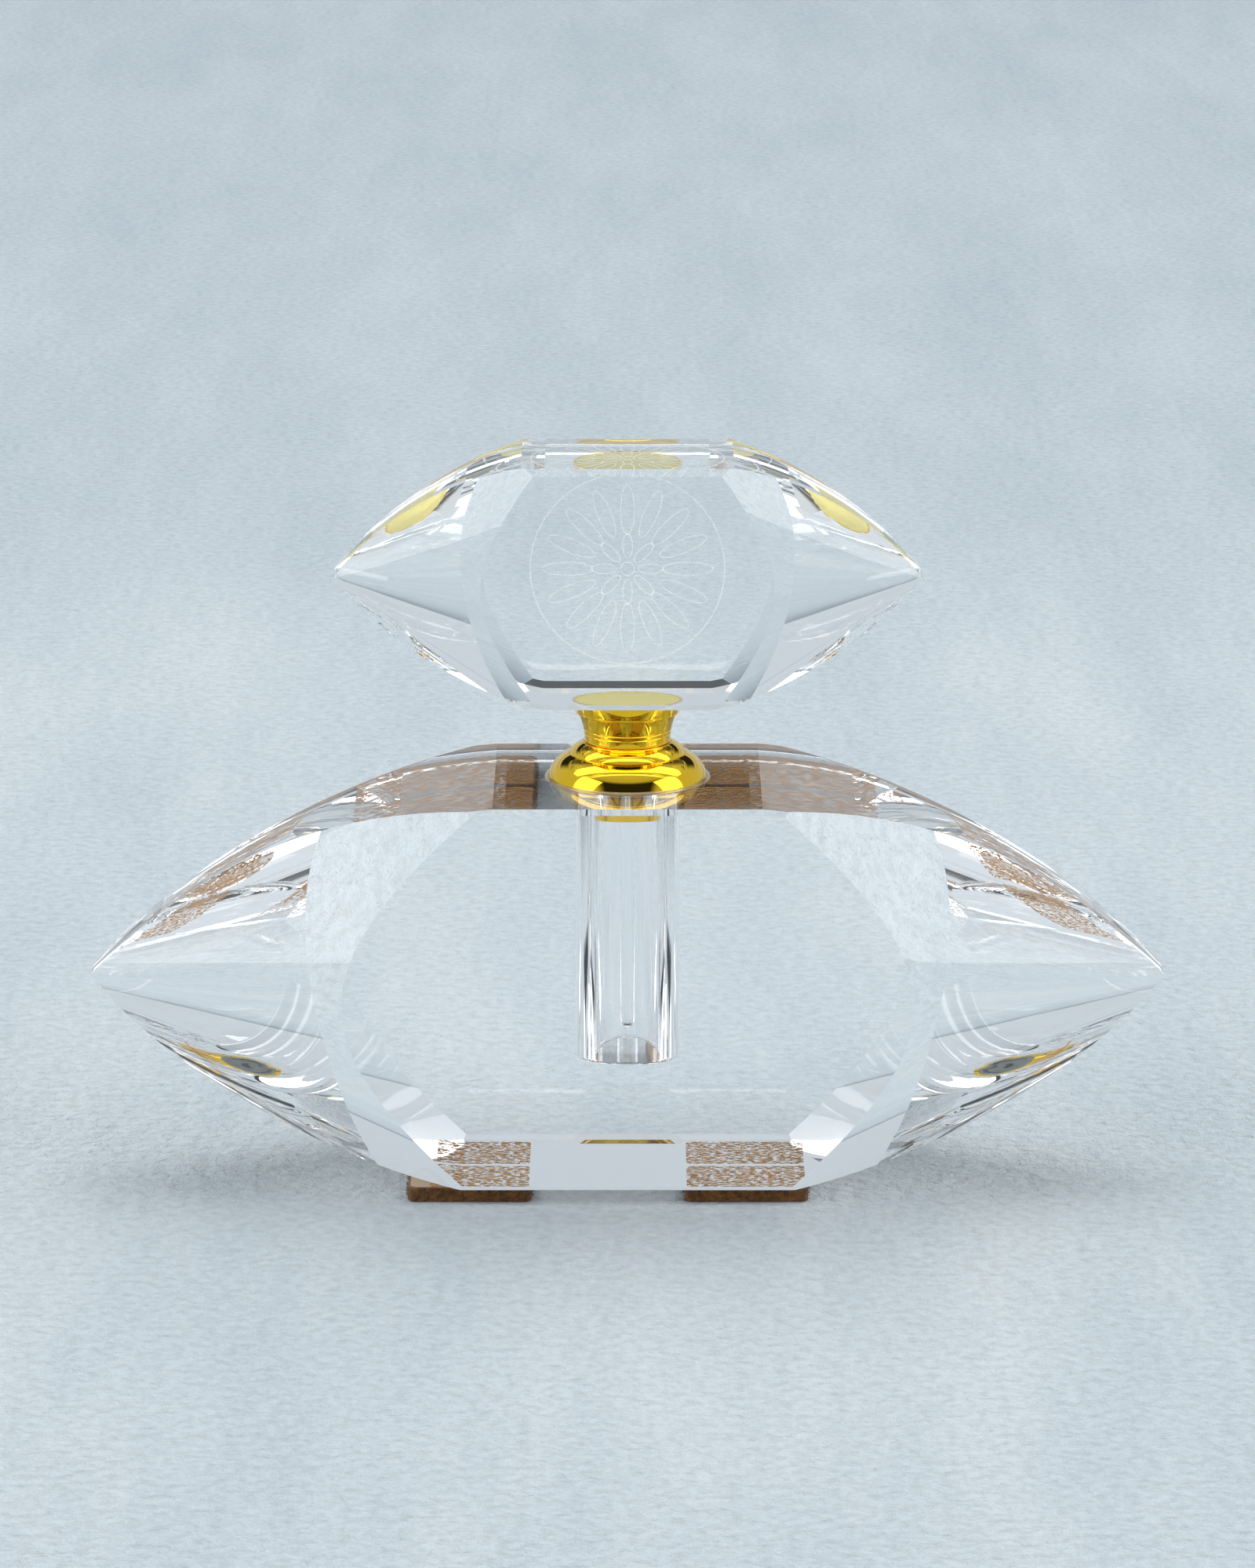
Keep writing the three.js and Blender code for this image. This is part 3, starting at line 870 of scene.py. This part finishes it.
# Brightness of the room against the height of a direction (its sine), and at the sides
ROOM_BACK = (
    (0.0, 0.85), (0.239, 0.85), (0.241, 0.03), (0.249, 0.03), (0.251, 0.85), (0.315, 0.85),
    (0.33, 0.03), (0.5, 0.03), (0.58, 0.8), (1.0, 0.9),
)
ROOM_FRONT = ((0.0, 0.45), (0.1, 0.3), (0.16, 0.03), (0.7, 0.03), (0.8, 0.7), (1.0, 0.9))
ROOM_SIDE = 0.85


def make_camera():
    """A long lens in front of the bottle, raised, and looking a little down on it."""
    camera = bpy.data.cameras.new("camera")
    camera.sensor_fit = "VERTICAL"
    camera.sensor_height = 36
    camera.lens = CAMERA_LENS
    camera.clip_start = 0.05
    eye = bpy.data.objects.new("camera", camera)
    eye.location = (0, -CAMERA_DISTANCE * MM, CAMERA_HEIGHT * MM)
    eye.rotation_euler = (math.radians(90 - CAMERA_PITCH), 0, 0)
    bpy.context.scene.collection.objects.link(eye)
    bpy.context.scene.camera = eye


def make_softbox(name, place, size, power):
    """A rectangular area light at place in metres, facing the bottle."""
    light = bpy.data.lights.new(name, "AREA")
    light.shape = "RECTANGLE"
    light.size, light.size_y = size
    light.energy = power
    box = bpy.data.objects.new(name, light)
    box.location = place
    aim = Vector((0, 0, 0.06)) - Vector(place)
    box.rotation_euler = aim.to_track_quat("-Z", "Y").to_euler()
    bpy.context.scene.collection.objects.link(box)


def bands(tree, height, stops):
    """Brightness against the height of a direction, from (height, brightness) stops."""
    ramp = add_node(tree, "ShaderNodeValToRGB", links={"Fac": height})
    elements = ramp.color_ramp.elements
    while len(elements) < len(stops):
        elements.new(0.5)
    for element, (level, bright) in zip(elements, stops):
        element.position = level
        element.color = (bright, bright, bright, 1)
    return ramp.outputs["Color"]


def make_room():
    """A pale room with dark gaps: over the table's far edge, and on the camera's side."""
    world = bpy.data.worlds.new("room")
    bpy.context.scene.world = world
    world.use_nodes = True
    tree = world.node_tree
    tree.nodes.clear()
    place = add_node(tree, "ShaderNodeTexCoord")
    parts = add_node(tree, "ShaderNodeSeparateXYZ", links={0: place.outputs["Generated"]})
    back = bands(tree, parts.outputs["Z"], ROOM_BACK)
    front = bands(tree, parts.outputs["Z"], ROOM_FRONT)
    towards_back = add_node(
        tree, "ShaderNodeMapRange",
        {"interpolation_type": "SMOOTHSTEP", "From Min": -0.25, "From Max": 0.25},
        {"Value": parts.outputs["Y"]},
    )
    ends = add_node(
        tree, "ShaderNodeMix", {"data_type": "RGBA"},
        {0: towards_back.outputs["Result"], 6: front, 7: back},
    )
    across = add_node(
        tree, "ShaderNodeMath", {"operation": "ABSOLUTE"}, {0: parts.outputs["X"]},
    )
    towards_side = add_node(
        tree, "ShaderNodeMapRange",
        {"interpolation_type": "SMOOTHSTEP", "From Min": 0.5, "From Max": 0.72},
        {"Value": across.outputs["Value"]},
    )
    bright = add_node(
        tree, "ShaderNodeMix",
        {"data_type": "RGBA", 7: (ROOM_SIDE, ROOM_SIDE, ROOM_SIDE, 1)},
        {0: towards_side.outputs["Result"], 6: ends.outputs[2]},
    )
    light = add_node(
        tree, "ShaderNodeBackground", {"Color": colour("D8E2EA")},
        {"Strength": bright.outputs[2]},
    )
    add_node(tree, "ShaderNodeOutputWorld", links={"Surface": light.outputs[0]})


def make_floor():
    """The wide board that the bottle stands on."""
    bm = bmesh.new()
    bmesh.ops.create_grid(bm, x_segments=4, y_segments=4, size=6)
    floor = finish_mesh("floor", bm)
    floor.data.materials.append(plaster_floor("plastered_board"))


# ---- Assembly ----

def dress(piece, material, body, slot, *nodes):
    """A finished piece with its material, its body, and the CAD nodes that it stands for."""
    piece.data.materials.clear()
    piece.data.materials.append(material)
    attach(piece, body)
    if nodes:
        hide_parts(*nodes)


def repaint(node, material):
    """A CAD node that stays gets a better finish."""
    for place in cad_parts[node].material_slots:
        place.material = material


make_camera()
make_room()
make_floor()
make_softbox("left_softbox", (-1.65, -0.68, 0.84), (1.2, 1.65), 13.5)
make_softbox("right_softbox", (1.65, -0.6, 0.84), (1.2, 1.65), 13.5)
make_softbox("top_softbox", (0, 0.9, 2.2), (2.6, 1.6), 30)

clear = lead_crystal("lead_crystal")
gold = gold_plate("gold_plate")
dress(make_body_crystal(), clear, "bottle", "body_crystal", "crystal_body")
dress(make_stopper_crystal(), clear, "stopper", "stopper_crystal", "stopper_crystal")
dress(make_collar(), gold, "bottle", "gold_collar", "neck_collar")
dress(
    make_glue_bead(), plain("clear_glue", "F4F1E4", 0.08, 0.9), "bottle", "clear_glue",
    "collar_glue_bead",
)
dress(make_cup(), gold, "stopper", "gold_cup", "stopper_cup")
dress(make_cement(), gilt_cement("cement_over_gold"), "stopper", "cement", "stopper_cement")
dress(make_rod(), lead_crystal("rod_glass"), "stopper", "rod_glass", "dauber_rod")
dress(make_motif(), frosted_glowing_line("etched_line_painted_glow"), "stopper", "stopper_crystal")
felt = brown_felt("brown_felt")
film = patchy_film("patchy_film")
for seed, place in enumerate(PADS):
    dress(make_pad(place, seed), felt, "bottle", "felt", f"felt_pad_{place}")
    dress(make_film(place), film, "bottle", "adhesive_film", f"pad_film_{place}")

polyethylene = plain("natural_polyethylene", "E4E6E0", 0.35, 0.3)
repaint("neck_liner", polyethylene)
repaint("stopper_plug", polyethylene)
repaint("plug_seal_ring", plain("silicone", "DCDCD4", 0.45, 0.3))

scene = bpy.context.scene
scene.view_settings.view_transform = "Standard"
scene.cycles.max_bounces = 24
scene.cycles.transmission_bounces = 24
scene.cycles.glossy_bounces = 12
scene.cycles.transparent_max_bounces = 24
